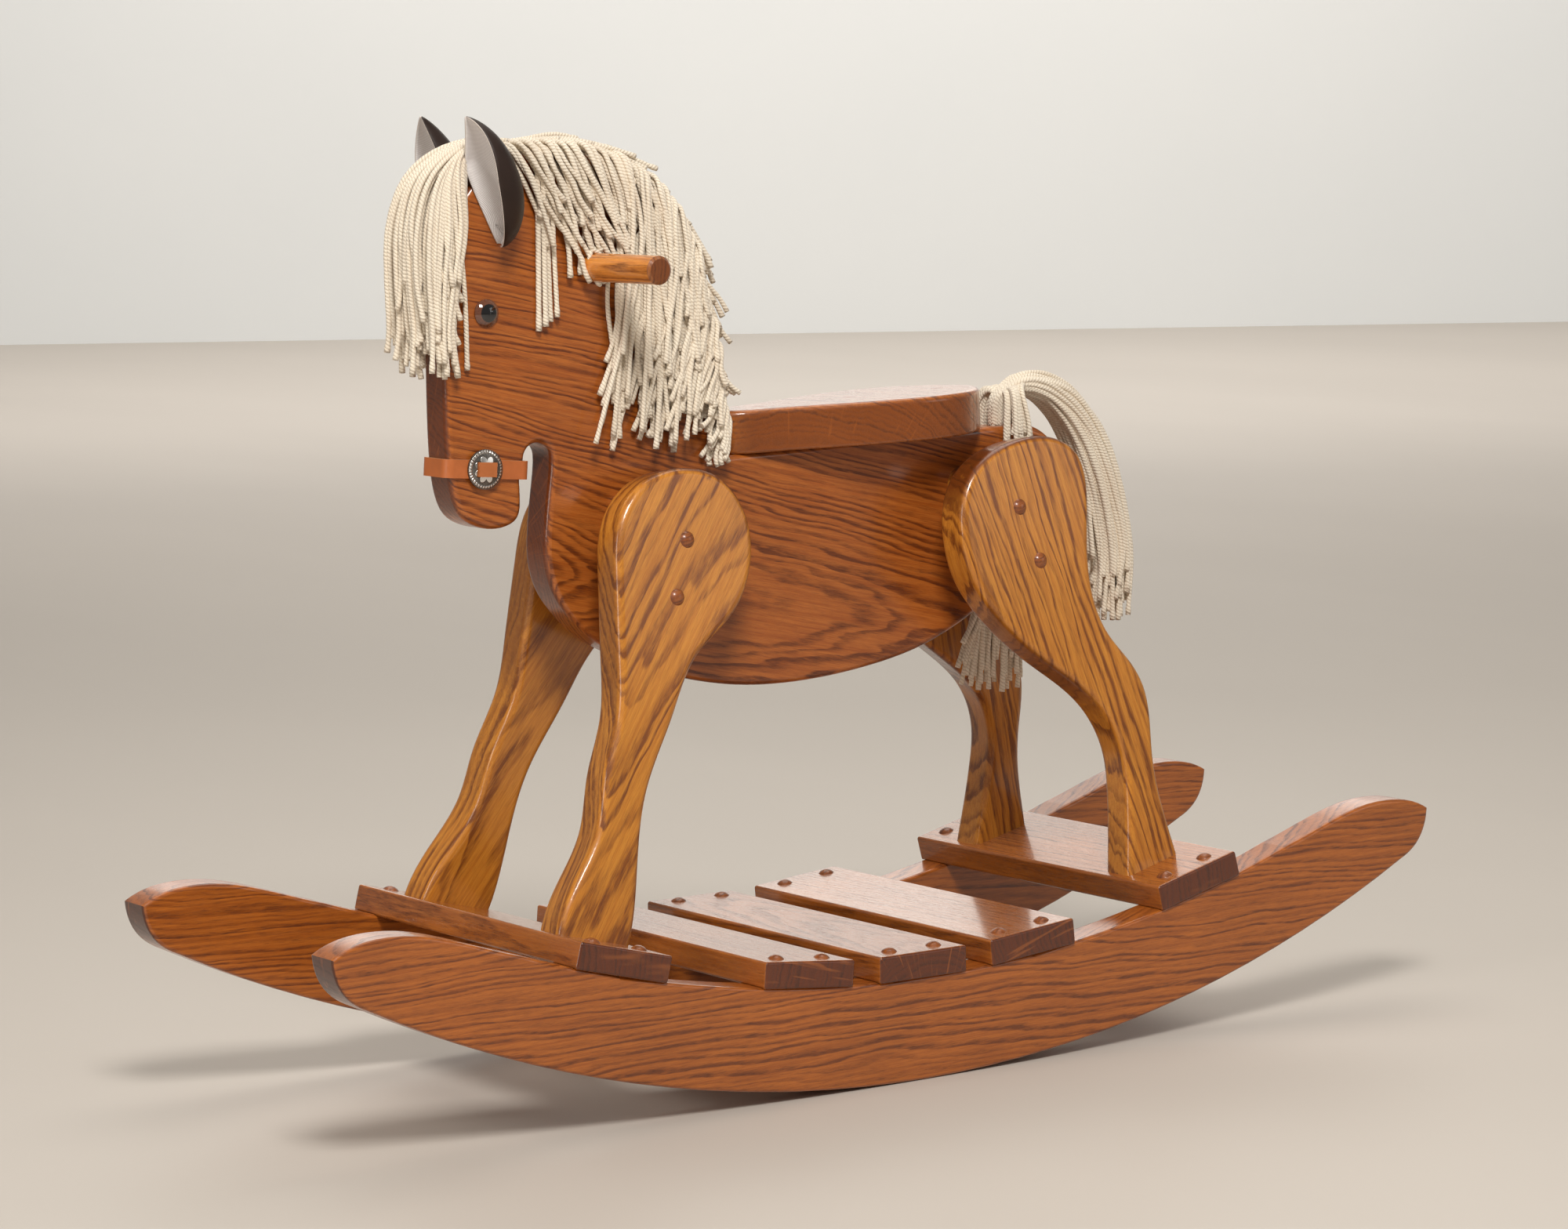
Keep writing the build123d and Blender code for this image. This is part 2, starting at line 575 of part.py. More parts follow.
with BuildPart() as forelock:
    add(yarn_block(FORELOCK, FORELOCK_HALF))
    add(yarn_block(FORELOCK_CROWN, CROWN_HALF))
    add(plank_room.part, mode=Mode.SUBTRACT)
save(forelock, "forelock")

with BuildPart() as tail:
    add(yarn_block(TAIL, TAIL_HALF))
    add(yarn_block(RIGHT_LOCK, start=RIGHT_LOCK_OUT, thick=RIGHT_LOCK_THICK))
    add(yarn_block(LEFT_LOCK, start=-LEFT_LOCK_IN, thick=LEFT_LOCK_THICK))
    add(plank_room.part, mode=Mode.SUBTRACT)
    with Locations((TAIL_HOLE_X, 0, back_z(TAIL_HOLE_X) + 8)):
        Cylinder(TAIL_HOLE_RADIUS - CLEAR, TAIL_HOLE_DEPTH + 4, align=(Align.CENTER, Align.CENTER, Align.MAX))
save(tail, "tail")

# ---------------------------------------------------------------- fasteners
save(leg_screws, "leg_screws")
save(leg_screw_buttons, "leg_screw_buttons")
save(board_screws, "board_screws")
save(board_screw_buttons, "board_screw_buttons")
save(foot_screws, "foot_screws")
save(seat_screws, "seat_screws")
save(seat_plugs, "seat_plugs")
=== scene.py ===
import math
import random

import bmesh
import bpy
from mathutils import Matrix, Vector


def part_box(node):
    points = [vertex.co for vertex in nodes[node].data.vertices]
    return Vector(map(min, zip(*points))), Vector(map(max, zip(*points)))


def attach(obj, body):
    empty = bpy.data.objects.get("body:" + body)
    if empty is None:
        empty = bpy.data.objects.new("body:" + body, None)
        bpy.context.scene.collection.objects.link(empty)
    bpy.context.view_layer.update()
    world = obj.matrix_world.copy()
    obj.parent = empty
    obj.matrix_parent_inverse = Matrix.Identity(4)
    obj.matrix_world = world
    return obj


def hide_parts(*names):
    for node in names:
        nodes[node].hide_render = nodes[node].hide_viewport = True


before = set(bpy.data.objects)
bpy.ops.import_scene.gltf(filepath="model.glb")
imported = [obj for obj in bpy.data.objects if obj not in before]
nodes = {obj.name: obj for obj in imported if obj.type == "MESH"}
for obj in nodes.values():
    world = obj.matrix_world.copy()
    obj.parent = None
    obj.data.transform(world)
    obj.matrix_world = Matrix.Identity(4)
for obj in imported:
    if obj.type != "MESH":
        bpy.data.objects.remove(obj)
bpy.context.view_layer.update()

# ------------------------------------------------------------------ camera
cam_data = bpy.data.cameras.new("camera")
cam_data.sensor_width = 36.0
cam_data.sensor_fit = "HORIZONTAL"
cam_data.lens = 109.06
cam_data.clip_end = 60.0
camera = bpy.data.objects.new("camera", cam_data)
bpy.context.scene.collection.objects.link(camera)
back = Vector((-0.57533, -0.80958, 0.11655)).normalized()
right = Vector((0.81404, -0.58063, -0.01478)).normalized()
up = back.cross(right).normalized()
turn = Matrix((right, up, back)).transposed().to_4x4()
camera.matrix_world = Matrix.Translation((-1.97937, -2.76248, 0.71573)) @ turn
bpy.context.scene.camera = camera
bpy.context.scene.view_settings.view_transform = "Standard"


# ------------------------------------------------------------------ node helpers
def new_material(name):
    mat = bpy.data.materials.new(name)
    mat.use_nodes = True
    tree = mat.node_tree
    shader = next(n for n in tree.nodes if n.type == "BSDF_PRINCIPLED")
    return mat, tree, shader


def put(socket, value):
    """A link if value is a socket, otherwise the socket's own value."""
    if isinstance(value, bpy.types.NodeSocket):
        socket.id_data.links.new(value, socket)
    elif value is not None:
        socket.default_value = value


def maths(tree, op, a, b=None, c=None, clamp=False):
    n = tree.nodes.new("ShaderNodeMath")
    n.operation = op
    n.use_clamp = clamp
    for i, v in enumerate((a, b, c)):
        if v is not None:
            put(n.inputs[i], v)
    return n.outputs[0]


def vmath(tree, op, a, b=None):
    n = tree.nodes.new("ShaderNodeVectorMath")
    n.operation = op
    put(n.inputs[0], a)
    if b is not None:
        put(n.inputs[1], b)
    return n.outputs["Value"] if op in ("DOT_PRODUCT", "LENGTH", "DISTANCE") else n.outputs["Vector"]


def combine(tree, x, y, z):
    n = tree.nodes.new("ShaderNodeCombineXYZ")
    for i, v in enumerate((x, y, z)):
        put(n.inputs[i], v)
    return n.outputs[0]


def noise(tree, vector, scale=1.0, detail=2.0, rough=0.5, distortion=0.0):
    n = tree.nodes.new("ShaderNodeTexNoise")
    put(n.inputs["Vector"], vector)
    n.inputs["Scale"].default_value = scale
    n.inputs["Detail"].default_value = detail
    n.inputs["Roughness"].default_value = rough
    n.inputs["Distortion"].default_value = distortion
    return n.outputs["Fac"]


def spread(tree, value, low, high, out_low=0.0, out_high=1.0):
    n = tree.nodes.new("ShaderNodeMapRange")
    n.interpolation_type = "SMOOTHSTEP"
    put(n.inputs["Value"], value)
    for key, v in (("From Min", low), ("From Max", high), ("To Min", out_low), ("To Max", out_high)):
        put(n.inputs[key], v)
    return n.outputs[0]


def blend_colour(tree, fac, a, b, mode="MIX"):
    n = tree.nodes.new("ShaderNodeMix")
    n.data_type = "RGBA"
    n.blend_type = mode
    put(n.inputs["Factor"], fac)
    put(n.inputs["A"], a if isinstance(a, bpy.types.NodeSocket) else (*a, 1.0))
    put(n.inputs["B"], b if isinstance(b, bpy.types.NodeSocket) else (*b, 1.0))
    return n.outputs["Result"]


def bump(tree, height, strength, distance, normal=None):
    n = tree.nodes.new("ShaderNodeBump")
    n.inputs["Strength"].default_value = strength
    n.inputs["Distance"].default_value = distance
    put(n.inputs["Height"], height)
    if normal is not None:
        put(n.inputs["Normal"], normal)
    return n.outputs[0]


def texture_space(tree):
    return tree.nodes.new("ShaderNodeTexCoord").outputs["Object"]


# ------------------------------------------------------------------ oak
def oak(name, grain, face, pith, light, mid, dark, end, ring=5.0, wave=5.0, seed=0.0, gloss=0.20,
        figure=0.5, ends=(0.42, 0.82)):
    """Plain-sawn red oak. grain and face are directions in the row frame; pith is where the growth rings
    centre, in mm across the board and below its face, from the row's origin; ring is their mean spacing.
    figure is how dark the rings are; ends is how far a surface turns along the grain to show end grain."""
    mat, tree, shader = new_material(name)
    g = Vector(grain).normalized()
    f = Vector(face)
    f = (f - g * f.dot(g)).normalized()
    a = f.cross(g)
    place = vmath(tree, "MULTIPLY", texture_space(tree), (1000.0, 1000.0, 1000.0))
    along = vmath(tree, "DOT_PRODUCT", place, tuple(g))
    across = vmath(tree, "DOT_PRODUCT", place, tuple(a))
    depth = vmath(tree, "DOT_PRODUCT", place, tuple(f))

    def grain_space(lengthwise, crosswise, inwards, shift=0.0):
        return combine(tree, maths(tree, "MULTIPLY_ADD", along, lengthwise, seed + shift),
                       maths(tree, "MULTIPLY", across, crosswise), maths(tree, "MULTIPLY", depth, inwards))

    # rings: distance from a wandering pith, which also drifts away along the board
    slow = grain_space(0.0045, 0.016, 0.012)
    drift = noise(tree, slow, 1.0, 2.5, 0.55)
    fine = grain_space(0.02, 0.11, 0.11)
    ripple = noise(tree, fine, 1.0, 2.0, 0.5)
    side = maths(tree, "SUBTRACT", across, pith[0])
    below = maths(tree, "SUBTRACT", depth, pith[1])
    below = maths(tree, "MULTIPLY_ADD", along, 0.07, below)
    square = maths(tree, "MULTIPLY_ADD", below, below, maths(tree, "MULTIPLY", side, side))
    radius = maths(tree, "SQRT", square)
    radius = maths(tree, "MULTIPLY_ADD", maths(tree, "SUBTRACT", drift, 0.5), wave * ring, radius)
    radius = maths(tree, "MULTIPLY_ADD", maths(tree, "SUBTRACT", ripple, 0.5), 1.1 * ring, radius)
    uneven = noise(tree, combine(tree, maths(tree, "MULTIPLY", radius, 0.045), seed, 2.5), 1.0, 2.0, 0.6)
    radius = maths(tree, "MULTIPLY_ADD", uneven, 5.0 * ring, radius)
    count = maths(tree, "DIVIDE", radius, ring)
    year = maths(tree, "FRACT", count)
    which = maths(tree, "FLOOR", count)
    strength = noise(tree, combine(tree, maths(tree, "MULTIPLY", which, 3.7), seed, 0.5), 1.0, 0.0)
    strength = spread(tree, strength, 0.3, 0.7, 0.40, 1.15)
    breaks = noise(tree, grain_space(0.035, 0.30, 0.30, 9.0), 1.0, 3.0, 0.6)
    strength = maths(tree, "MULTIPLY", strength, spread(tree, breaks, 0.32, 0.62, 0.35, 1.1))
    rise = spread(tree, year, 0.0, 0.16)
    fall = spread(tree, year, 0.22, 0.72, 1.0, 0.0)
    early = maths(tree, "MULTIPLY", maths(tree, "MULTIPLY", rise, fall), strength, clamp=True)

    # open pores: short dark dashes along the grain, thick in the early wood
    pores = noise(tree, grain_space(0.11, 2.3, 2.3), 1.0, 3.0, 0.65)
    dashes = spread(tree, pores, 0.47, 0.62)
    pore = maths(tree, "MULTIPLY", dashes, maths(tree, "MULTIPLY_ADD", early, 0.75, 0.30), clamp=True)

    # fibre tone that varies slowly along and quickly across
    fibre = noise(tree, grain_space(0.015, 0.45, 0.45, 4.0), 1.0, 5.0, 0.7)

    # medullary rays: thin pale lines that run out from the pith
    angle = maths(tree, "ARCTAN2", side, below)
    ray_space = combine(tree, maths(tree, "MULTIPLY", angle, 55.0), maths(tree, "MULTIPLY", along, 0.25),
                        maths(tree, "MULTIPLY", radius, 0.02))
    rays = spread(tree, noise(tree, ray_space, 1.0, 1.0, 0.5), 0.62, 0.74)

    normal = tree.nodes.new("ShaderNodeTexCoord").outputs["Normal"]
    facing = maths(tree, "ABSOLUTE", vmath(tree, "DOT_PRODUCT", normal, tuple(g)))
    is_end = spread(tree, facing, *ends)

    base = blend_colour(tree, spread(tree, fibre, 0.32, 0.68), mid, light)
    base = blend_colour(tree, maths(tree, "MULTIPLY", early, figure), base, dark)
    base = blend_colour(tree, maths(tree, "MULTIPLY", pore, 0.72), base, tuple(c * 0.62 for c in dark))
    end_tone = blend_colour(tree, maths(tree, "MULTIPLY", early, 0.75), end, tuple(c * 0.5 for c in end))
    end_tone = blend_colour(tree, maths(tree, "MULTIPLY", rays, 0.55), end_tone, mid)
    colour = blend_colour(tree, is_end, base, end_tone)
    cloud = noise(tree, vmath(tree, "MULTIPLY", place, (0.012, 0.012, 0.012)), 1.0, 2.0)
    shade = blend_colour(tree, cloud, (0.82, 0.80, 0.78), (1.12, 1.12, 1.12))
    colour = blend_colour(tree, 1.0, colour, shade, "MULTIPLY")
    put(shader.inputs["Base Color"], colour)
    put(shader.inputs["Roughness"], maths(tree, "MULTIPLY_ADD", pore, 0.22, gloss + 0.10))
    shader.inputs["Specular IOR Level"].default_value = 0.3
    shader.inputs["Coat Weight"].default_value = 0.7
    shader.inputs["Coat Roughness"].default_value = gloss * 0.75
    shader.inputs["Coat IOR"].default_value = 1.5
    grooves = maths(tree, "MULTIPLY_ADD", pore, -1.0, maths(tree, "MULTIPLY", fibre, 0.35))
    put(shader.inputs["Normal"], bump(tree, grooves, 0.35, 0.0003))
    return mat


def paint(node, mat):
    slots = nodes[node].data.materials
    if not slots:
        slots.append(mat)
    for slot in nodes[node].material_slots:
        slot.link = "OBJECT"
        slot.material = mat


GOLD = dict(light=(0.62, 0.250, 0.030), mid=(0.48, 0.165, 0.017), dark=(0.220, 0.060, 0.006),
            end=(0.170, 0.042, 0.007))
RED = dict(light=(0.47, 0.140, 0.024), mid=(0.34, 0.084, 0.012), dark=(0.120, 0.023, 0.003),
           end=(0.150, 0.032, 0.005))
BROWN = dict(light=(0.47, 0.135, 0.018), mid=(0.34, 0.088, 0.011), dark=(0.130, 0.026, 0.003),
             end=(0.085, 0.017, 0.003))
BOARD = dict(light=(0.46, 0.148, 0.028), mid=(0.34, 0.095, 0.015), dark=(0.135, 0.031, 0.005),
             end=(0.115, 0.023, 0.004))
SEAT = dict(light=(0.44, 0.132, 0.022), mid=(0.32, 0.086, 0.013), dark=(0.130, 0.030, 0.004),
            end=(0.230, 0.058, 0.009))
ROD = dict(light=(0.84, 0.330, 0.060), mid=(0.66, 0.220, 0.034), dark=(0.20, 0.050, 0.008),
           end=(0.20, 0.055, 0.012))


def tilted(degrees_from_x, sign=1.0):
    """Direction in the X-Z plane."""
    t = math.radians(degrees_from_x)
    return (math.cos(t), 0.0, math.sin(t) * sign)


paint("plank", oak("plank_oak", tilted(-12.5), (0, -1, 0), (310, -62), ring=3.8, wave=6.0, seed=3.1,
                   figure=0.85, **RED))
LEGS = {
    "front_left_leg": (55, -1, 8.6, (243, -50), 1.7),
    "front_right_leg": (55, 1, 8.6, (-300, -55), 5.9),
    "rear_left_leg": (105, -1, 7.6, (333, 10), 9.2),
    "rear_right_leg": (105, 1, 7.6, (-333, 20), 12.4),
}
for name, (angle, side, splay, pith, seed) in LEGS.items():
    lean = math.radians(splay)
    slope = Vector((0, -side * math.sin(lean), math.cos(lean)))
    t = math.radians(angle)
    direction = Vector((math.cos(t), 0, 0)) + slope * math.sin(t)
    out = Vector((0, side * math.cos(lean), math.sin(lean)))
    mat = oak(name + "_oak", direction, out, pith, ring=6.4, wave=4.5, seed=seed, figure=1.0,
              ends=(0.30, 0.74), **GOLD)
    paint(name, mat)
    paint(name.replace("_leg", "_wedge"), mat)
for name, drift, pith, seed in (("left_rocker", 0.02, (-60, 60), 21.0),
                                ("right_rocker", -0.02, (-20, -200), 27.0)):
    paint(name, oak(name + "_oak", (1, 0, drift), (0, -1, 0), pith, ring=4.2, wave=5.0, seed=seed,
                    figure=0.78, **BROWN))
for i, name in enumerate(("front_crossboard", "front_slat", "middle_slat", "rear_slat", "rear_crossboard")):
    low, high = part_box(name)
    middle = (low.x + high.x) * 500.0
    height = (low.z + high.z) * 500.0
    pith = (middle + 12.0 * (i - 2), height - 60 - 6 * i)
    paint(name, oak(name + "_oak", (0, 1, 0), (0, 0, 1), pith, ring=4.4, wave=2.5, seed=30.0 + 3 * i,
                    gloss=0.16, ends=(0.28, 0.72), **BOARD))
paint("seat", oak("seat_oak", (0, 1, 0), (0, 0, 1), (30, 300), ring=4.8, wave=4.0, seed=51.0, gloss=0.16,
                  figure=0.8, ends=(0.75, 0.97), **SEAT))
handle_oak = oak("handle_oak", (0, 1, 0), (0, 0, 1), (-186, 540), ring=3.2, wave=1.5, seed=61.0,
                 figure=0.8, **ROD)
paint("handle", handle_oak)
PLUG = dict(light=(0.33, 0.098, 0.020), mid=(0.24, 0.062, 0.012), dark=(0.10, 0.022, 0.004),
            end=(0.17, 0.04, 0.008))
plug_oak = oak("plug_oak", (1, 0, 0.3), (0, -1, 0), (0, -40), ring=3.0, wave=1.2, seed=71.0, gloss=0.26,
               **PLUG)
for name in ("leg_screw_buttons", "board_screw_buttons", "seat_plugs"):
    paint(name, plug_oak)


# ------------------------------------------------------------------ metal, eyes and leather
def polar(tree, centre, axis_x, axis_z):
    """(radius in mm, angle) about a centre, in the plane of two directions."""
    place = vmath(tree, "SUBTRACT", texture_space(tree), tuple(c / 1000.0 for c in centre))
    place = vmath(tree, "MULTIPLY", place, (1000.0, 1000.0, 1000.0))
    u = vmath(tree, "DOT_PRODUCT", place, axis_x)
    v = vmath(tree, "DOT_PRODUCT", place, axis_z)
    r = maths(tree, "SQRT", maths(tree, "MULTIPLY_ADD", u, u, maths(tree, "MULTIPLY", v, v)))
    return r, maths(tree, "ARCTAN2", v, u)


def steel_material():
    mat, tree, shader = new_material("steel")
    scratch = noise(tree, vmath(tree, "MULTIPLY", texture_space(tree), (900.0, 2500.0, 900.0)), 1.0, 3.0)
    put(shader.inputs["Base Color"], blend_colour(tree, scratch, (0.55, 0.55, 0.54), (0.85, 0.85, 0.84)))
    shader.inputs["Metallic"].default_value = 1.0
    put(shader.inputs["Roughness"], spread(tree, scratch, 0.3, 0.7, 0.2, 0.4))
    return mat


steel = steel_material()
for name in ("ear_staples", "mane_staples", "leg_screws", "board_screws", "foot_screws", "seat_screws"):
    paint(name, steel)

CONCHO = (-276.5, 0.0, 439.9)


def concho_material():
    """Die-stamped silver: beaded rim, a ring of petals and a darker antiqued ground."""
    mat, tree, shader = new_material("stamped_silver")
    r, angle = polar(tree, CONCHO, (1, 0, -0.0787), (0.0787, 0, 1))

    def spokes(half_count):
        return maths(tree, "ABSOLUTE", maths(tree, "SINE", maths(tree, "MULTIPLY", angle, half_count)))

    rim = spread(tree, maths(tree, "ABSOLUTE", maths(tree, "SUBTRACT", r, 12.2)), 0.4, 1.2, 1.0, 0.0)
    beads = maths(tree, "MULTIPLY", spokes(18.0), rim)
    wide = spokes(4.0)
    petal_edge = maths(tree, "MULTIPLY_ADD", wide, 3.2, 6.6)
    petal = spread(tree, maths(tree, "SUBTRACT", petal_edge, r), -0.3, 0.5)
    outside_petals = spread(tree, maths(tree, "SUBTRACT", r, petal_edge), 0.0, 0.4)
    fan = maths(tree, "MULTIPLY", spokes(36.0), outside_petals)
    height = maths(tree, "MULTIPLY_ADD", petal, 0.8, maths(tree, "MULTIPLY_ADD", fan, 0.35, beads))
    grime = noise(tree, vmath(tree, "MULTIPLY", texture_space(tree), (500.0, 500.0, 500.0)), 1.0, 3.0)
    lit = spread(tree, height, 0.1, 0.9)
    tone = blend_colour(tree, lit, (0.09, 0.08, 0.07), (0.80, 0.78, 0.75))
    tone = blend_colour(tree, spread(tree, grime, 0.45, 0.75, 0.0, 0.35), tone, (0.35, 0.32, 0.28))
    put(shader.inputs["Base Color"], tone)
    shader.inputs["Metallic"].default_value = 1.0
    put(shader.inputs["Roughness"], maths(tree, "MULTIPLY_ADD", lit, -0.16, 0.38))
    put(shader.inputs["Normal"], bump(tree, height, 0.8, 0.0006))
    return mat


silver = concho_material()
for name in ("left_concho", "right_concho"):
    paint(name, silver)


def eye_material():
    mat, tree, shader = new_material("eye_plastic")
    r, angle = polar(tree, (-271.0, 0.0, 546.0), (1, 0, 0), (0, 0, 1))
    streak_space = combine(tree, maths(tree, "MULTIPLY", angle, 6.0), maths(tree, "MULTIPLY", r, 0.5), 0.0)
    streak = noise(tree, streak_space, 1.0, 3.0)
    iris = blend_colour(tree, streak, (0.075, 0.022, 0.012), (0.19, 0.07, 0.035))
    outside_pupil = spread(tree, r, 5.9, 6.5)
    put(shader.inputs["Base Color"], blend_colour(tree, outside_pupil, (0.004, 0.004, 0.005), iris))
    shader.inputs["Roughness"].default_value = 0.06
    shader.inputs["Coat Weight"].default_value = 1.0
    shader.inputs["Coat Roughness"].default_value = 0.03
    return mat


for name in ("left_eye", "right_eye"):
    paint(name, eye_material())


def leather_material(name, colour, edge_axis=None):
    mat, tree, shader = new_material(name)
    place = vmath(tree, "MULTIPLY", texture_space(tree), (1000.0, 1000.0, 1000.0))
    cell = tree.nodes.new("ShaderNodeTexVoronoi")
    put(cell.inputs["Vector"], place)
    cell.inputs["Scale"].default_value = 1.4
    grain = cell.outputs["Distance"]
    cloud = noise(tree, place, 0.12, 3.0)
    tone = blend_colour(tree, cloud, tuple(c * 0.78 for c in colour), tuple(c * 1.15 for c in colour))
    if edge_axis:
        normal = tree.nodes.new("ShaderNodeTexCoord").outputs["Normal"]
        edge = spread(tree, maths(tree, "ABSOLUTE", vmath(tree, "DOT_PRODUCT", normal, edge_axis)), 0.6, 0.9)
        tone = blend_colour(tree, edge, tone, (0.70, 0.42, 0.24))
    put(shader.inputs["Base Color"], tone)
    put(shader.inputs["Roughness"], spread(tree, cloud, 0.3, 0.7, 0.34, 0.5))
    put(shader.inputs["Normal"], bump(tree, grain, 0.12, 0.0004))
    return mat


paint("noseband", leather_material("strap_leather", (0.46, 0.125, 0.030), (0.0785, 0, 0.9969)))
paint("concho_laces", leather_material("lace_leather", (0.44, 0.130, 0.034), (0.0785, 0, 0.9969)))


# ------------------------------------------------------------------ ears
def ear_material(name, kind):
    mat, tree, shader = new_material(name)
    uv = tree.nodes.new("ShaderNodeUVMap").outputs[0]
    u = tree.nodes.new("ShaderNodeSeparateXYZ")
    put(u.inputs[0], uv)
    if kind == "lining":
        diagonal = maths(tree, "ADD", u.outputs[0], u.outputs[1])
        twill = maths(tree, "SINE", maths(tree, "MULTIPLY", diagonal, 4400.0))
        thread = noise(tree, vmath(tree, "MULTIPLY", uv, (2600.0, 900.0, 1.0)), 1.0, 3.0)
        lines = spread(tree, twill, -0.6, 0.7)
        colour = blend_colour(tree, lines, (0.58, 0.54, 0.525), (0.92, 0.89, 0.88))
        colour = blend_colour(tree, spread(tree, thread, 0.35, 0.75, 0.0, 0.5), colour, (0.72, 0.68, 0.665))
        put(shader.inputs["Base Color"], colour)
        shader.inputs["Roughness"].default_value = 0.85
        shader.inputs["Sheen Weight"].default_value = 0.3
        put(shader.inputs["Normal"], bump(tree, lines, 0.4, 0.0004))
    elif kind == "vinyl":
        cell = tree.nodes.new("ShaderNodeTexVoronoi")
        put(cell.inputs["Vector"], vmath(tree, "MULTIPLY", uv, (1100.0, 900.0, 1.0)))
        tone = noise(tree, vmath(tree, "MULTIPLY", uv, (60.0, 60.0, 1.0)), 1.0, 3.0)
        colour = blend_colour(tree, tone, (0.014, 0.007, 0.005), (0.030, 0.015, 0.010))
        put(shader.inputs["Base Color"], colour)
        put(shader.inputs["Roughness"], spread(tree, tone, 0.3, 0.7, 0.42, 0.55))
        shader.inputs["Specular IOR Level"].default_value = 0.3
        put(shader.inputs["Normal"], bump(tree, cell.outputs["Distance"], 0.18, 0.0003))
    else:
        fleck = noise(tree, vmath(tree, "MULTIPLY", uv, (1500.0, 1500.0, 1.0)), 1.0, 2.0)
        put(shader.inputs["Base Color"], blend_colour(tree, fleck, (0.55, 0.47, 0.42), (0.80, 0.74, 0.70)))
        shader.inputs["Roughness"].default_value = 0.8
    return mat


EAR_MATERIALS = [ear_material("ear_vinyl", "vinyl"), ear_material("ear_lining", "lining"),
                 ear_material("ear_cut_edge", "edge")]
EAR_LONG, EAR_WIDE = 0.098, 0.078
EAR_THICK = 0.0013
BESIDE_PLANK = 0.0153       # the nearest that an ear comes to the middle plane


def leaf_half_width(v):
    return 0.5 * EAR_WIDE * (math.sin(math.pi * v ** 0.68) ** 0.86) if 0 < v < 1 else 0.0


def make_ear(side, name):
    """A leaf of lined vinyl, cupped open to the front and pinched where the staples hold it."""
    base = Vector((-0.2605, side * 0.0165, 0.5915))
    middle = Vector((-0.2745, side * 0.0325, 0.6410))
    tip = Vector((-0.2930, side * 0.0290, 0.6790))
    bend = middle * 2 - (base + tip) * 0.5
    front = Vector((-1.0, side * 0.05, 0.10)).normalized()
    rows, cols = 34, 24
    mesh = bmesh.new()
    layer = mesh.loops.layers.uv.new("UVMap")
    grid = []
    for i in range(rows + 1):
        v = 0.004 + 0.992 * i / rows
        half = max(leaf_half_width(v), 0.0006)
        spine = base * (1 - v) ** 2 + bend * (2 * v * (1 - v)) + tip * v * v
        axis = (bend - base) * (1 - v) + (tip - bend) * v
        axis.normalize()
        ahead = (front - axis * front.dot(axis)).normalized()
        across = axis.cross(ahead)
        curl = 1.66 + 0.12 * math.sin(math.pi * v) - 0.25 * max(0.0, (v - 0.5) / 0.5)
        radius = half / curl
        row = []
        for j in range(cols + 1):
            u = -1 + 2 * j / cols
            a = u * curl
            point = spine + across * (radius * math.sin(a)) - ahead * (radius * (math.cos(a) - 0.25))
            if point.z < 0.662:
                point.y = side * max(point.y * side, BESIDE_PLANK)
            row.append((mesh.verts.new(point), (half * u, EAR_LONG * v)))
        grid.append(row)
    for i in range(rows):
        for j in range(cols):
            quad = [grid[i][j], grid[i][j + 1], grid[i + 1][j + 1], grid[i + 1][j]]
            face = mesh.faces.new([q[0] for q in quad])
            face.smooth = True
            for loop, q in zip(face.loops, quad):
                loop[layer].uv = q[1]
    data = bpy.data.meshes.new(name)
    mesh.to_mesh(data)
    mesh.free()
    ear = bpy.data.objects.new(name, data)
    bpy.context.scene.collection.objects.link(ear)
    for mat in EAR_MATERIALS:
        data.materials.append(mat)
    skin = ear.modifiers.new("skin", "SOLIDIFY")
    skin.thickness = EAR_THICK
    skin.offset = 0.0
    skin.material_offset = 1
    skin.material_offset_rim = 2
    skin.use_flip_normals = True
    return ear


for side, name in ((-1, "left"), (1, "right")):
    ear = make_ear(side, f"{name}_folded_ear")
    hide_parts(f"{name}_ear")
    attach(ear, "root")

# ------------------------------------------------------------------ yarn
HALF_PLANK = 0.0143
STRAND = 0.0018
HANDLE_AT, HANDLE_ROOM = Vector((-0.1852, 0.0, 0.574)), 0.0099 + STRAND + 0.0004


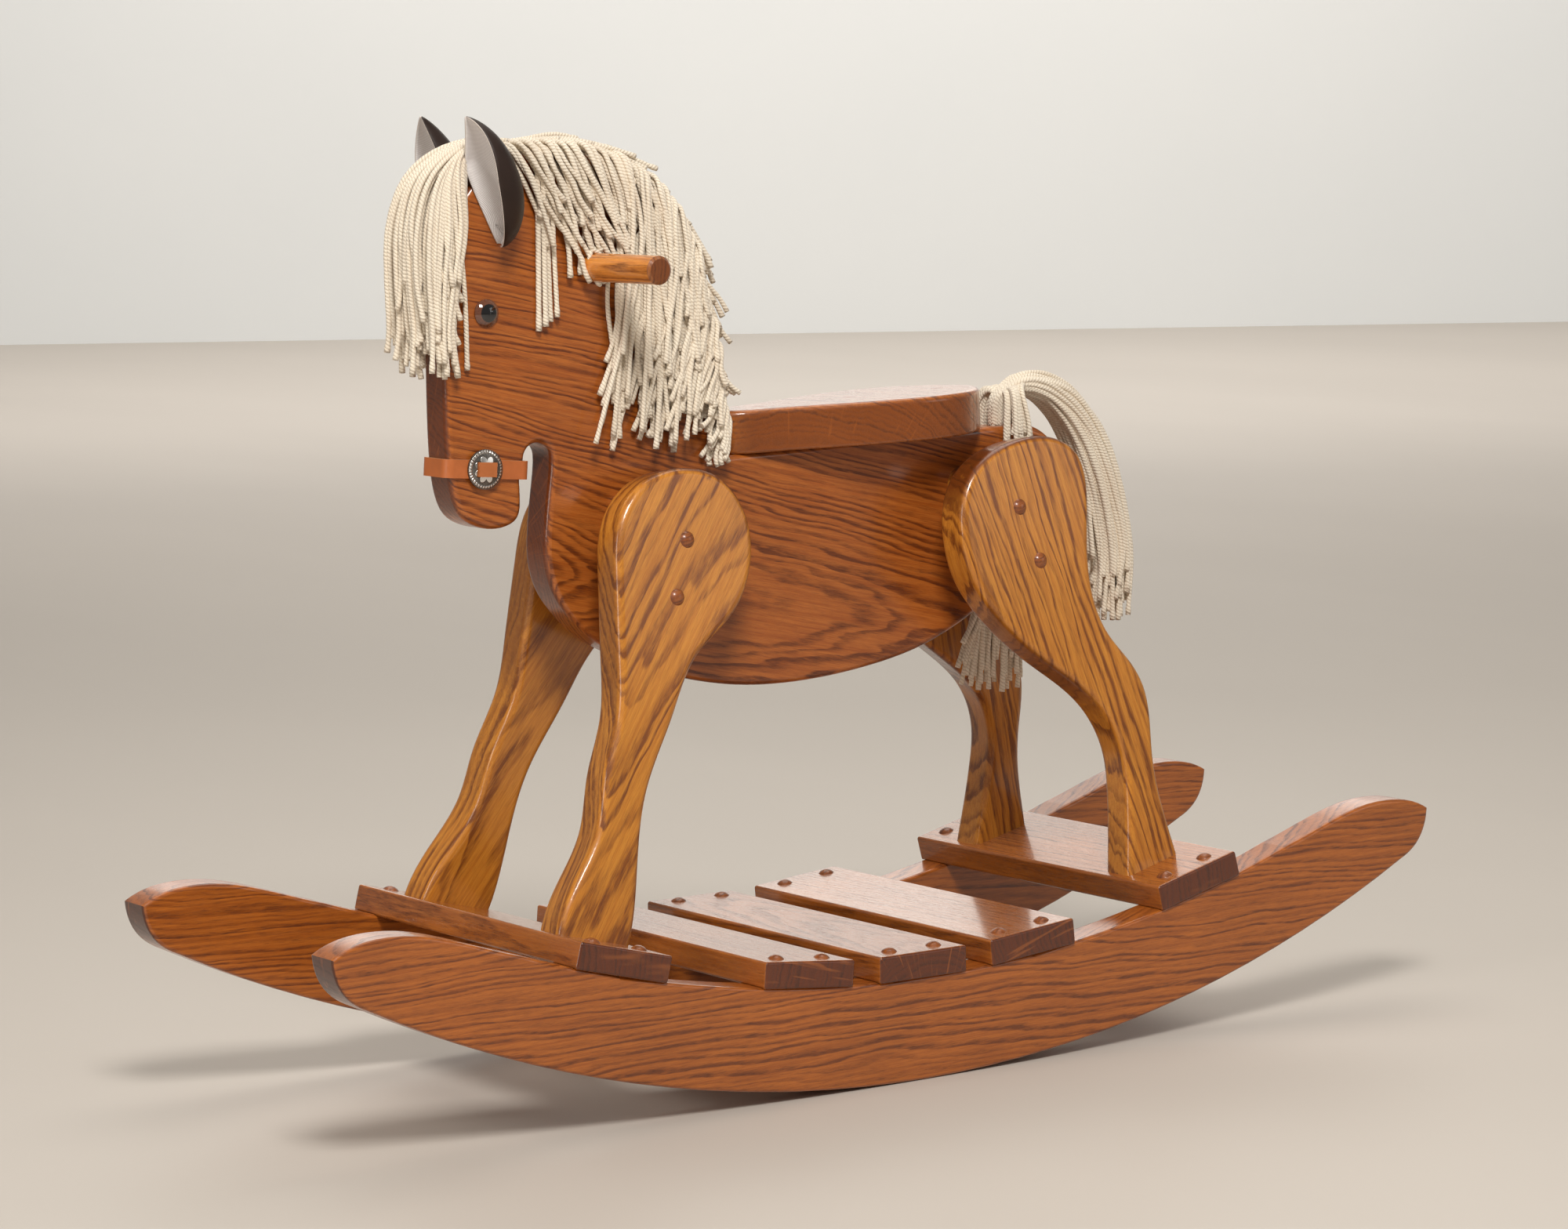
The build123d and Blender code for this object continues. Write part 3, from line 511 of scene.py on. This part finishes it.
def yarn_material():
    """Two plies twisted together, with painted shade darkening the grooves between them; the UV map runs once
    round a strand and in metres along it.
    """
    mat, tree, shader = new_material("cream_yarn")
    uv = tree.nodes.new("ShaderNodeSeparateXYZ")
    put(uv.inputs[0], tree.nodes.new("ShaderNodeUVMap").outputs[0])
    turns = maths(tree, "MULTIPLY_ADD", uv.outputs[1], 400.0, maths(tree, "MULTIPLY", uv.outputs[0], 2.0))
    ply_ridge_and_shade = maths(tree, "ABSOLUTE", maths(tree, "SINE", maths(tree, "MULTIPLY", turns, math.pi)))
    place = vmath(tree, "MULTIPLY", texture_space(tree), (1000.0, 1000.0, 1000.0))
    fuzz = noise(tree, combine(tree, maths(tree, "MULTIPLY", uv.outputs[0], 9.0),
                               maths(tree, "MULTIPLY", uv.outputs[1], 1700.0), turns), 1.0, 3.0)
    cloud = noise(tree, place, 0.035, 2.0)
    # painted shade: the colour goes from a dark groove tone between the two plies to a pale tone on their
    # crowns, standing in for the shade of the twist
    colour = blend_colour(tree, spread(tree, ply_ridge_and_shade, 0.02, 0.75), (0.55, 0.45, 0.335), (0.86, 0.775, 0.640))
    colour = blend_colour(tree, spread(tree, fuzz, 0.3, 0.75, 0.0, 0.45), colour, (0.72, 0.62, 0.49))
    colour = blend_colour(tree, spread(tree, cloud, 0.35, 0.7, 0.0, 0.35), colour, (0.68, 0.56, 0.43))
    put(shader.inputs["Base Color"], colour)
    shader.inputs["Roughness"].default_value = 0.9
    shader.inputs["Sheen Weight"].default_value = 0.25
    shader.inputs["Specular IOR Level"].default_value = 0.25
    put(shader.inputs["Normal"], bump(tree, maths(tree, "MULTIPLY_ADD", fuzz, 0.3, ply_ridge_and_shade), 0.55, 0.0006))
    return mat


yarn = yarn_material()


def along_curve(points, step=0.0032):
    """Evenly spaced points on a smooth curve through the given ones."""
    pts = [points[0] * 2 - points[1], *points, points[-1] * 2 - points[-2]]
    fine = []
    for k in range(1, len(pts) - 2):
        p0, p1, p2, p3 = pts[k - 1:k + 3]
        for s in range(14):
            t = s / 14
            fine.append(0.5 * ((2 * p1) + (p2 - p0) * t + (2 * p0 - 5 * p1 + 4 * p2 - p3) * t * t
                               + (3 * p1 - p0 - 3 * p2 + p3) * t ** 3))
    fine.append(points[-1].copy())
    out = [fine[0]]
    gap = 0.0
    for a, b in zip(fine, fine[1:]):
        gap += (b - a).length
        if gap >= step:
            out.append(b)
            gap = 0.0
    if (out[-1] - fine[-1]).length > step * 0.3:
        out.append(fine[-1])
    return out


def clear_handle(path):
    """Moves the points of a strand out of the handle; the smoothing that follows can bring some back."""
    for p in path:
        flat = Vector((p.x - HANDLE_AT.x, 0, p.z - HANDLE_AT.z))
        if flat.length < HANDLE_ROOM and abs(p.y) > 0.012:
            flat = flat.normalized() if flat.length > 1e-6 else Vector((1, 0, 0))
            p.x = HANDLE_AT.x + flat.x * HANDLE_ROOM
            p.z = HANDLE_AT.z + flat.z * HANDLE_ROOM
    return path


def smooth(path, times=3):
    for _ in range(times):
        path = [path[0]] + [(a + b * 2 + c) / 4 for a, b, c in zip(path, path[1:], path[2:])] + [path[-1]]
    return path


FALL_STRANDS, CROWN_STRANDS, TAIL_STRANDS = 46, 170, 150


class Bunch:
    """Many strands gathered in one mesh."""

    def __init__(self, name, seed):
        self.name = name
        self.rng = random.Random(seed)
        self.mesh = bmesh.new()
        self.layer = self.mesh.loops.layers.uv.new("UVMap")

    def strand(self, points, around=8):
        rng = self.rng
        path = smooth(clear_handle(along_curve(points)), 2)
        if len(path) < 4:
            return
        thick = STRAND * rng.uniform(0.88, 1.08)
        phase = rng.uniform(0, 1)
        frame_x = (path[1] - path[0]).orthogonal().normalized()
        rings = []
        length = 0.0
        last = len(path) - 1
        for i, p in enumerate(path):
            tangent = (path[min(i + 1, last)] - path[max(i - 1, 0)]).normalized()
            frame_x = (frame_x - tangent * frame_x.dot(tangent)).normalized()
            frame_y = tangent.cross(frame_x)
            if i:
                length += (p - path[i - 1]).length
            r = thick * (1.0 + 0.05 * math.sin(length * 900 + phase * 7))
            if i >= last - 1:
                r *= 1.16
            ring = []
            for k in range(around):
                a = 2 * math.pi * k / around
                ring.append(self.mesh.verts.new(p + (frame_x * math.cos(a) + frame_y * math.sin(a)) * r))
            rings.append((ring, length))
        for (ra, la), (rb, lb) in zip(rings, rings[1:]):
            for k in range(around):
                n = (k + 1) % around
                face = self.mesh.faces.new((ra[k], ra[n], rb[n], rb[k]))
                face.smooth = True
                uvs = ((k, la), (k + 1, la), (k + 1, lb), (k, lb))
                for loop, (c, l) in zip(face.loops, uvs):
                    loop[self.layer].uv = (c / around + phase, l)
        for ring, l, flip in ((rings[0][0], 0.0, True), (rings[-1][0], length, False)):
            face = self.mesh.faces.new(ring[::-1] if flip else ring)
            for loop in face.loops:
                loop[self.layer].uv = (0.25 + phase, l)

    def done(self, *replaced):
        data = bpy.data.meshes.new(self.name)
        self.mesh.to_mesh(data)
        self.mesh.free()
        data.materials.append(yarn)
        piece = bpy.data.objects.new(self.name, data)
        bpy.context.scene.collection.objects.link(piece)
        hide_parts(*replaced)
        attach(piece, "root")
        return piece


CREST = [(-0.262, 0.6535), (-0.228, 0.655), (-0.193, 0.6525), (-0.159, 0.641), (-0.134, 0.621),
         (-0.117, 0.596), (-0.107, 0.570), (-0.101, 0.540), (-0.097, 0.510), (-0.093, 0.480), (-0.088, 0.458)]


def crest_at(t):
    """Point and outward direction on the neck's crest; t runs from 0 at the poll to 1 at the withers."""
    pos = t * (len(CREST) - 1)
    k = min(int(pos), len(CREST) - 2)
    f = pos - k
    (x0, z0), (x1, z1) = CREST[k], CREST[k + 1]
    step = Vector((x1 - x0, 0, z1 - z0)).normalized()
    return Vector((x0 + (x1 - x0) * f, 0, z0 + (z1 - z0) * f)), Vector((-step.z, 0, step.x))


def mane_strand(bunch, t, side, lift, length, comb, turn):
    """A strand over the crest at t, combed comb degrees below the horizontal.
    Towards its end it falls turn degrees more."""
    rng = bunch.rng
    root, out = crest_at(t)
    y_face = HALF_PLANK + STRAND + 0.0006 + lift
    a = math.radians(comb)
    b = math.radians(comb + 0.6 * turn)
    c = math.radians(comb + turn)
    d0, d1, d2 = (Vector((math.cos(q), 0, -math.sin(q))) for q in (a, b, c))
    wave = rng.uniform(-0.0035, 0.0035)
    p0 = root + out * (0.002 + 0.3 * lift)
    p1 = root + out * (0.0045 + 0.9 * lift) + d0 * 0.006 + Vector((0, side * y_face * 0.68, 0))
    p2 = root + out * (0.001 + 0.5 * lift) + d0 * 0.018 + Vector((0, side * y_face, 0))
    p3 = p2 + d1 * (length * 0.36) + out * wave
    p4 = p3 + d2 * (length * 0.34) - out * wave
    p5 = p4 + d2 * (length * 0.30) + Vector((rng.uniform(-0.005, 0.005), side * rng.uniform(0, 0.003), 0))
    for p, k in ((p3, 0.0), (p4, 0.001), (p5, 0.001)):
        p.y = side * max(abs(p.y), y_face + k)
    bunch.strand([p0, p1, p2, p3, p4, p5])


def neck_strand(bunch, t, reach, stand):
    """A strand left on top of the crest, lying down the back of the neck at a distance."""
    rng = bunch.rng
    y = rng.uniform(-0.013, 0.013)
    points = []
    for k in range(6):
        root, out = crest_at(min(1.0, t + reach * k / 5))
        rise = 0.003 + stand * (0.25 + 0.75 * k / 5) + rng.uniform(-0.001, 0.001)
        points.append(root + out * (0.002 if k == 0 else rise) + Vector((0, y * (0.3 + 0.7 * k / 5), 0)))
    bunch.strand(points)


def make_mane():
    bunch = Bunch("mane_yarn", 11)
    rng = bunch.rng
    for side in (-1, 1):
        for layer, count in ((0, 78), (1, 74), (2, 58)):
            for i in range(count):
                t = 0.02 + 0.95 * (i + rng.uniform(0.1, 0.9)) / count
                lift = 0.0033 * layer + rng.uniform(0, 0.0018)
                high = max(0.0, 1 - t / 0.6)
                comb = 52 + 26 * (1 - high) + rng.uniform(-6, 6)
                turn = 8 + 10 * (1 - high) + rng.uniform(-10, 10)
                root, _ = crest_at(t)
                if t < 0.26:
                    end_z = rng.uniform(0.565, 0.620)
                elif rng.random() < 0.70 - 0.35 * min(1.0, t / 0.6):
                    end_z = rng.uniform(0.520, 0.600) - 0.06 * t
                else:
                    end_z = rng.uniform(0.446, 0.515)
                    comb += 16
                end_z = min(end_z, root.z - 0.030)
                end_z = max(end_z, 0.434)
                reach = (root.z - end_z) / math.sin(math.radians(min(86.0, comb + 0.7 * turn))) - 0.012
                lift += 0.003 if t > 0.26 and layer else 0.0
                mane_strand(bunch, t, side, lift, reach, comb, turn)
        for i in range(4):
            x = -0.2335 + 0.0038 * i
            y = side * (HALF_PLANK + STRAND + 0.001 + 0.0012 * (i % 2))
            bunch.strand([Vector((x, side * 0.002, 0.658)), Vector((x + 0.002, y * 0.8, 0.658)),
                          Vector((x + 0.003, y * 1.1, 0.645)), Vector((x + 0.004, y, 0.600)),
                          Vector((x + 0.003 + 0.001 * i, y, 0.532 + 0.003 * i))])
        for i in range(FALL_STRANDS):
            u = (i + rng.uniform(0, 1)) / FALL_STRANDS
            root, out = crest_at(0.30 + 0.40 * u)
            y = HALF_PLANK + STRAND + 0.001 + rng.uniform(0, 0.0045)
            x = -0.171 + 0.062 * u + rng.uniform(-0.003, 0.003)
            bend = rng.uniform(-0.004, 0.004)
            end = rng.uniform(0.446, 0.512)
            bunch.strand([root + out * 0.003, root + out * 0.005 + Vector((0.002, side * y * 0.7, 0)),
                          root + Vector(((x - root.x) * 0.4, side * y, -0.012)),
                          Vector((x + 0.002, side * y, min(0.590, root.z - 0.020))),
                          Vector((x + bend, side * (y + 0.001), min(0.550, root.z - 0.045))),
                          Vector((x - 0.003 - bend, side * (y + 0.001), 0.5 * (end + 0.545))),
                          Vector((x - 0.008 + rng.uniform(-0.004, 0.006), side * (y + 0.001), end))])
    for _ in range(CROWN_STRANDS):
        t = rng.uniform(0.0, 0.84)
        stand = rng.uniform(0.002, 0.010 + 0.022 * min(1.0, max(0.0, t - 0.15) / 0.3))
        neck_strand(bunch, t, min(0.93 - t, rng.uniform(0.12, 0.28)), stand)
    return bunch.done("mane")


def make_forelock():
    bunch = Bunch("forelock_yarn", 23)
    rng = bunch.rng
    brow = [(-0.262, 0.6575), (-0.284, 0.6505), (-0.302, 0.632), (-0.311, 0.604), (-0.3125, 0.570),
            (-0.3115, 0.537), (-0.310, 0.500)]
    for layer, count in ((0, 34), (1, 36), (2, 32), (3, 22)):
        for i in range(count):
            w = (i + rng.uniform(0.1, 0.9)) / count * 2 - 1
            lift = 0.0029 * layer + rng.uniform(0, 0.003)
            end_z = rng.choice((rng.uniform(0.502, 0.535), rng.uniform(0.520, 0.576)))
            root = Vector((-0.244 + rng.uniform(-0.006, 0.004), 0.008 * w, 0.6575 + 0.4 * lift))
            pts = [root]
            side = 1 if w > 0 else -1
            back = max(0.0, abs(w) - 0.42) / 0.58
            wave = rng.uniform(-0.004, 0.004)
            for k, (x, z) in enumerate(brow):
                if z < end_z + 0.008:
                    break
                fall = k / 6
                y = 0.015 * w / 0.42 if back == 0 else side * (0.015 + 0.005 * fall + 0.5 * lift)
                if back and k > 2:
                    y = side * (HALF_PLANK + STRAND + 0.0008 + lift * 0.8)
                y *= (0.45, 0.75, 0.95)[k] if k < 3 else 1.0
                slip = 0.030 * back * (0.1, 0.2, 0.7, 1.0, 0.82, 0.58, 0.36)[k]
                out = lift * (0.6 + 0.45 * math.sin(math.pi * fall))
                out += max(0.0, 0.7 * wave * math.sin(5 * fall))
                pts.append(Vector((x - out - STRAND + slip, y + (0.3 * wave if back == 0 else 0.0),
                                   z - (0.002 if k in (1, 2) else 0.0) + (0.4 * lift if k < 3 else 0.0))))
            last = pts[-1]
            pts.append(Vector((last.x + 0.002 + rng.uniform(-0.005, 0.004), last.y * 1.08, end_z)))
            bunch.strand(pts)
    for side in (-1, 1):
        y = side * (HALF_PLANK + STRAND + 0.0008)
        bunch.strand([Vector((-0.252, 0, 0.662)), Vector((-0.280, y * 0.5, 0.658)),
                      Vector((-0.292, y * 0.9, 0.640)), Vector((-0.292, y, 0.600)),
                      Vector((-0.289, y, 0.555)), Vector((-0.2885, y, 0.508))])
    return bunch.done("forelock")


def make_tail():
    bunch = Bunch("tail_yarn", 37)
    rng = bunch.rng
    root = Vector((0.178, 0, 0.448))
    for _ in range(TAIL_STRANDS):
        spin = rng.uniform(0, 2 * math.pi)
        wide = math.sqrt(rng.uniform(0, 1))
        sx, sy = math.cos(spin) * wide, math.sin(spin) * wide
        far = 0.5 + 0.5 * sx
        start = root + Vector((0.004 * sx, 0.004 * sy, -0.006))
        neck = root + Vector((0.004 + 0.005 * sx, 0.006 * sy, 0.018 + 0.004 * far))
        end_z = 0.286 + rng.uniform(0, 0.055) + 0.010 * far
        top = Vector((0.206 + 0.006 * far, 0.013 * sy, 0.466 + 0.014 * far + rng.uniform(-0.002, 0.002)))
        bend = Vector((0.234 + 0.014 * far, 0.018 * sy, 0.446 + 0.020 * far + rng.uniform(-0.003, 0.003)))
        fall = Vector((0.254 + 0.026 * far, 0.020 * sy, 0.404 + 0.020 * far + rng.uniform(-0.004, 0.004)))
        low = Vector((0.268 + 0.029 * far + rng.uniform(-0.003, 0.003), 0.022 * sy, 0.352))
        end = Vector((low.x + rng.uniform(-0.008, 0.003), 0.023 * sy + rng.uniform(-0.002, 0.002), end_z))
        lower = [low, end] if end_z < 0.335 else [end]
        bunch.strand([start, neck, top, bend, fall, *lower])
    for side, count in ((-1, 16), (1, 64)):
        for i in range(count):
            u = (i + rng.uniform(0, 1)) / count
            lift = rng.uniform(0, 0.009)
            y = side * (HALF_PLANK + STRAND + 0.001 + lift)
            x = 0.171 + (0.018 if side < 0 else 0.046) * u
            neck = root + Vector((0.003 + 0.02 * u, side * 0.003, 0.018 + 0.006 * u))
            over = Vector((x * 0.6 + root.x * 0.4 + 0.004, y * 0.75, 0.466 + 0.3 * lift))
            pts = [root + Vector((0, side * 0.002, -0.006)), neck, over, Vector((x + 0.002, y, 0.444))]
            if side > 0:
                end_z = 0.242 + rng.uniform(0, 0.050) - 0.004 * u
                x_low = max(x, 0.184)
                pts += [Vector((x_low + 0.002, y, 0.405)), Vector((x_low + 0.002, y, 0.36)),
                        Vector((x_low - 0.006 + 0.012 * u, y + 0.001, 0.31)),
                        Vector((0.160 + 0.062 * u + rng.uniform(-0.004, 0.004), y + 0.002, end_z))]
            else:
                end_z = 0.424 + rng.uniform(0, 0.014)
                pts.append(Vector((x + 0.002 + rng.uniform(-0.002, 0.002), y, end_z)))
            bunch.strand(pts)
    return bunch.done("tail")


make_mane()
make_forelock()
make_tail()


# ------------------------------------------------------------------ floor, backdrop and light
def studio():
    """A plain pale floor with a pale wall well behind."""
    surfaces = []
    for name, low, high, rough in (("floor_paint", (0.50, 0.455, 0.405), (0.56, 0.51, 0.455), 0.55),
                                   ("wall_paint", (0.74, 0.76, 0.76), (0.78, 0.795, 0.79), 0.8)):
        mat, tree, shader = new_material(name)
        cloud = noise(tree, vmath(tree, "MULTIPLY", texture_space(tree), (1.0, 0.35, 1.0)), 1.6, 3.0)
        put(shader.inputs["Base Color"], blend_colour(tree, cloud, low, high))
        shader.inputs["Roughness"].default_value = rough
        surfaces.append(mat)
    away = Vector((0.5791, 0.8153, 0))
    across = Vector((0.8153, -0.5791, 0))
    for name, mat, ends in (("studio_floor", surfaces[0], ((-9.0, 0.0), (9.0, 0.0))),
                            ("studio_wall", surfaces[1], ((9.0, 0.0), (9.0, 6.0)))):
        mesh = bmesh.new()
        rows = []
        for d, z in ends:
            centre = away * d + Vector((0, 0, z - 0.0002))
            rows.append([mesh.verts.new(centre + across * s) for s in (-9.0, 9.0)])
        mesh.faces.new((rows[0][0], rows[0][1], rows[1][1], rows[1][0]))
        data = bpy.data.meshes.new(name)
        mesh.to_mesh(data)
        mesh.free()
        data.materials.append(mat)
        piece = bpy.data.objects.new(name, data)
        bpy.context.scene.collection.objects.link(piece)


def softbox(name, place, aim, size, power, colour=(1, 1, 1)):
    data = bpy.data.lights.new(name, "AREA")
    data.shape = "RECTANGLE"
    data.size, data.size_y = size
    data.energy = power
    data.color = colour
    lamp = bpy.data.objects.new(name, data)
    bpy.context.scene.collection.objects.link(lamp)
    lamp.location = place
    lamp.rotation_euler = (Vector(aim) - Vector(place)).to_track_quat("-Z", "Y").to_euler()


studio()
world = bpy.data.worlds.new("world")
world.use_nodes = True
world.node_tree.nodes["Background"].inputs[0].default_value = (1.0, 0.94, 0.86, 1.0)
world.node_tree.nodes["Background"].inputs[1].default_value = 0.24
bpy.context.scene.world = world
softbox("window", (-1.3, -2.2, 2.9), (0, 0, 0.35), (0.9, 0.9), 104, (1.0, 0.975, 0.94))
softbox("fill", (2.2, -2.6, 1.4), (0, 0, 0.3), (1.4, 1.4), 7, (1.0, 0.98, 0.95))
softbox("top", (0.6, 0.8, 3.0), (0, 0, 0.3), (2.2, 2.2), 36, (1.0, 0.95, 0.88))
softbox("left", (-3.0, -0.9, 1.1), (0, 0, 0.5), (0.8, 1.4), 20, (1.0, 0.96, 0.90))
softbox("behind", (2.35, 3.3, 1.75), (0, 0, 0.4), (3.2, 1.1), 10, (1.0, 0.93, 0.84))
softbox("backdrop", (3.3, 4.6, 4.0), (5.2, 7.3, 0.9), (5.0, 2.0), 230, (1.0, 0.965, 0.93))
